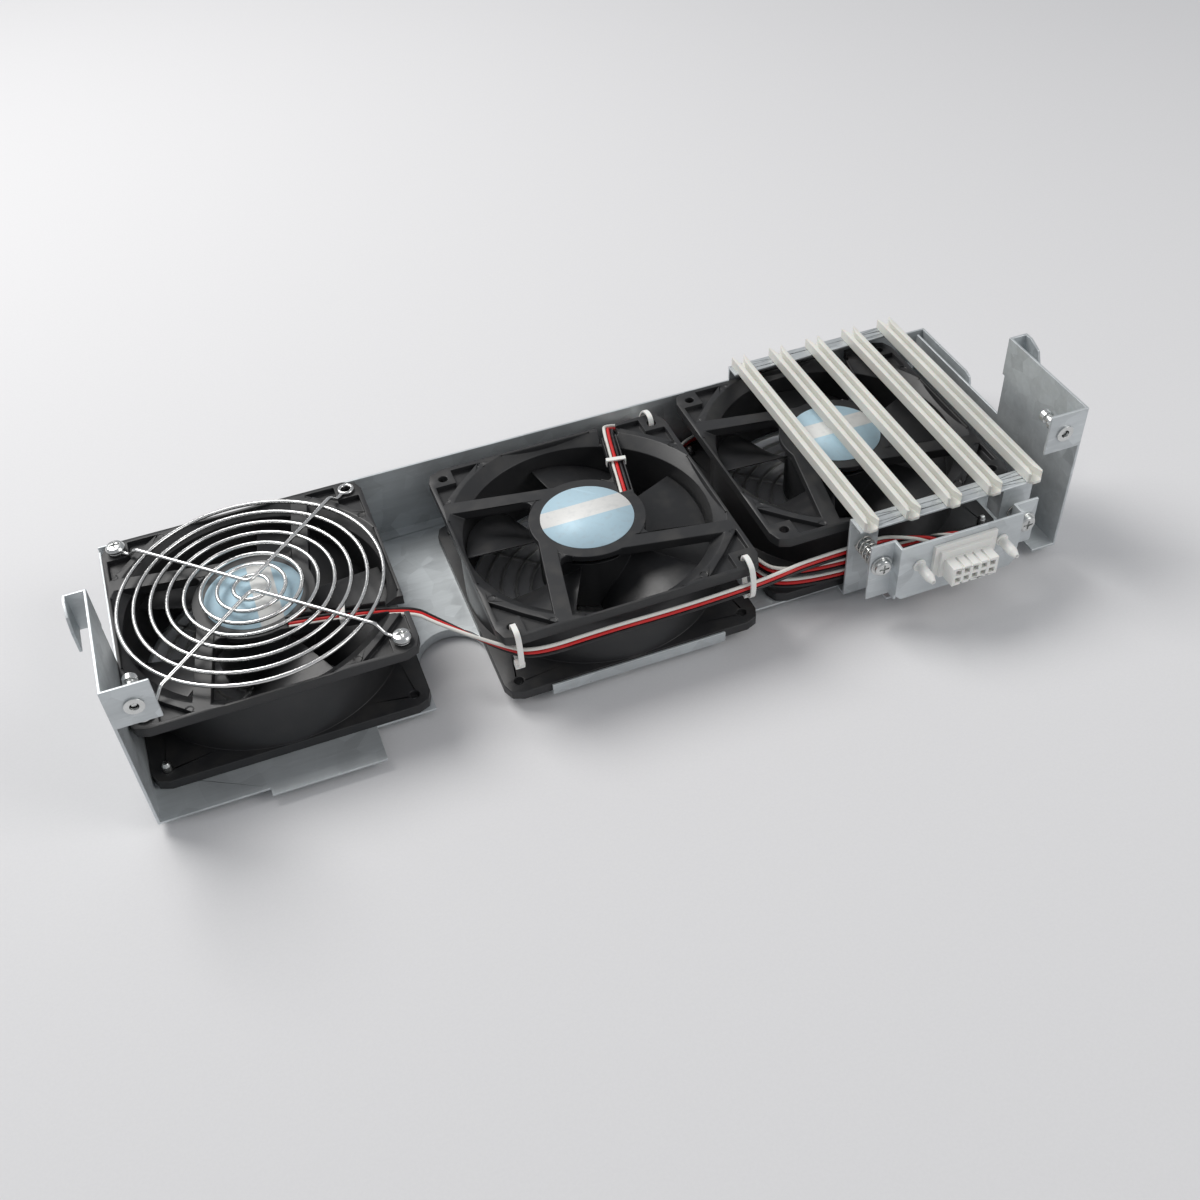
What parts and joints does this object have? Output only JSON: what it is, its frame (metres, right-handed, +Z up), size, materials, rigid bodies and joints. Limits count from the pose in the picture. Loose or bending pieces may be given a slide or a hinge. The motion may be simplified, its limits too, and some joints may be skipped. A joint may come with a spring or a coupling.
{
  "type": "server fan module",
  "caption": "Folded steel tray with axial fans, wire finger guards, nylon card guides, a floating plug on springs and spring-loaded captive screws at its ends.",
  "frame": {"origin": "middle of the bottom of the whole part, on the plane of the lowest screw heads", "axes": "+X along the tray to its plug end, +Y from the plug side to the long back wall, +Z up, the way the fans blow and the card guides open"},
  "size_m": [0.4354, 0.163, 0.0833],
  "materials": {
    "tray": "satin",
    "card_guide_rail_1": "satin",
    "card_guide_rail_2": "satin",
    "card_guide_rail_3": "satin",
    "card_guide_rail_4": "satin",
    "card_guide_rail_5": "satin",
    "fan_1_housing": "satin",
    "fan_1_impeller": "satin",
    "fan_1_rotor_yoke": "satin",
    "fan_1_magnet_ring": "satin",
    "fan_1_shaft": "satin",
    "fan_1_bearings": "satin",
    "fan_1_stator_core": "satin",
    "fan_1_windings": "satin",
    "fan_1_circuit_board": "satin",
    "fan_1_label": "satin",
    "fan_2_housing": "satin",
    "fan_2_impeller": "satin",
    "fan_2_rotor_yoke": "satin",
    "fan_2_magnet_ring": "satin",
    "fan_2_shaft": "satin",
    "fan_2_bearings": "satin",
    "fan_2_stator_core": "satin",
    "fan_2_windings": "satin",
    "fan_2_circuit_board": "satin",
    "fan_2_label": "satin",
    "fan_3_housing": "satin",
    "fan_3_impeller": "satin",
    "fan_3_rotor_yoke": "satin",
    "fan_3_magnet_ring": "satin",
    "fan_3_shaft": "satin",
    "fan_3_bearings": "satin",
    "fan_3_stator_core": "satin",
    "fan_3_windings": "satin",
    "fan_3_circuit_board": "satin",
    "fan_3_label": "satin",
    "finger_guard": "satin",
    "bottom_finger_guards": "satin",
    "fan_screws": "satin",
    "guard_screws": "satin",
    "captive_screw_ferrules": "satin",
    "captive_screw_left": "satin",
    "captive_screw_right": "satin",
    "captive_spring_left": "satin",
    "captive_spring_right": "satin",
    "connector_bracket": "satin",
    "connector_housing": "satin",
    "connector_contacts": "satin",
    "guide_pins": "satin",
    "shoulder_screws": "satin",
    "connector_washers": "satin",
    "float_spring_left": "satin",
    "float_spring_right": "satin",
    "wires_red": "satin",
    "wires_black": "satin",
    "wires_white": "satin",
    "connector_leads": "satin",
    "cable_ties": "satin"
  },
  "bodies": {
    "module": {"tray": "tray", "card_guide_rail_1": "card_guide_rail_1", "card_guide_rail_2": "card_guide_rail_2", "card_guide_rail_3": "card_guide_rail_3", "card_guide_rail_4": "card_guide_rail_4", "card_guide_rail_5": "card_guide_rail_5", "fan_1_housing": "fan_1_housing", "fan_1_bearings": "fan_1_bearings", "fan_1_stator_core": "fan_1_stator_core", "fan_1_windings": "fan_1_windings", "fan_1_circuit_board": "fan_1_circuit_board", "fan_1_label": "fan_1_label", "fan_2_housing": "fan_2_housing", "fan_2_bearings": "fan_2_bearings", "fan_2_stator_core": "fan_2_stator_core", "fan_2_windings": "fan_2_windings", "fan_2_circuit_board": "fan_2_circuit_board", "fan_2_label": "fan_2_label", "fan_3_housing": "fan_3_housing", "fan_3_bearings": "fan_3_bearings", "fan_3_stator_core": "fan_3_stator_core", "fan_3_windings": "fan_3_windings", "fan_3_circuit_board": "fan_3_circuit_board", "fan_3_label": "fan_3_label", "finger_guard": "finger_guard", "bottom_finger_guards": "bottom_finger_guards", "fan_screws": "fan_screws", "guard_screws": "guard_screws", "captive_screw_ferrules": "captive_screw_ferrules", "shoulder_screws": "shoulder_screws", "connector_washers": "connector_washers", "wires_red": "wires_red", "wires_black": "wires_black", "wires_white": "wires_white", "cable_ties": "cable_ties"},
    "fan_1_rotor": {"fan_1_impeller": "fan_1_impeller", "fan_1_rotor_yoke": "fan_1_rotor_yoke", "fan_1_magnet_ring": "fan_1_magnet_ring", "fan_1_shaft": "fan_1_shaft"},
    "fan_2_rotor": {"fan_2_impeller": "fan_2_impeller", "fan_2_rotor_yoke": "fan_2_rotor_yoke", "fan_2_magnet_ring": "fan_2_magnet_ring", "fan_2_shaft": "fan_2_shaft"},
    "fan_3_rotor": {"fan_3_impeller": "fan_3_impeller", "fan_3_rotor_yoke": "fan_3_rotor_yoke", "fan_3_magnet_ring": "fan_3_magnet_ring", "fan_3_shaft": "fan_3_shaft"},
    "captive_slide_left": {"captive_spring_left": "captive_spring_left"},
    "captive_turn_left": {"captive_screw_left": "captive_screw_left"},
    "captive_slide_right": {"captive_spring_right": "captive_spring_right"},
    "captive_turn_right": {"captive_screw_right": "captive_screw_right"},
    "floating_plug": {"connector_bracket": "connector_bracket", "connector_housing": "connector_housing", "connector_contacts": "connector_contacts", "guide_pins": "guide_pins", "float_spring_left": "float_spring_left", "float_spring_right": "float_spring_right", "connector_leads": "connector_leads"}
  },
  "joints": [
    {"name": "fan_1_spin", "type": "hinge", "parent": "module", "child": "fan_1_rotor", "pos_m": [-0.1486, 0.01895, 0.0255], "axis": [0, 0, 1], "continuous": true},
    {"name": "fan_2_spin", "type": "hinge", "parent": "module", "child": "fan_2_rotor", "pos_m": [0.0005, 0.00875, 0.0255], "axis": [0, 0, 1], "continuous": true},
    {"name": "fan_3_spin", "type": "hinge", "parent": "module", "child": "fan_3_rotor", "pos_m": [0.1297, 0.01825, 0.0255], "axis": [0, 0, 1], "continuous": true},
    {"name": "captive_push_left", "type": "slide", "parent": "module", "child": "captive_slide_left", "axis": [0, -1, 0], "range_m": [0, 0.003], "stiffness_N_per_m": 300, "deforming": ["captive_spring_left"]},
    {"name": "captive_screw_turn_left", "type": "hinge", "parent": "captive_slide_left", "child": "captive_turn_left", "pos_m": [-0.1993, -0.05575, 0.0729], "axis": [0, -1, 0], "continuous": true},
    {"name": "captive_push_right", "type": "slide", "parent": "module", "child": "captive_slide_right", "axis": [0, -1, 0], "range_m": [0, 0.003], "stiffness_N_per_m": 300, "deforming": ["captive_spring_right"]},
    {"name": "captive_screw_turn_right", "type": "hinge", "parent": "captive_slide_right", "child": "captive_turn_right", "pos_m": [0.1993, -0.05575, 0.0729], "axis": [0, -1, 0], "continuous": true},
    {"name": "plug_float", "type": "slide", "parent": "module", "child": "floating_plug", "axis": [0, 1, 0], "range_m": [0, 0.003], "stiffness_N_per_m": 1200, "deforming": ["float_spring_left", "float_spring_right", "connector_leads"]}
  ]
}
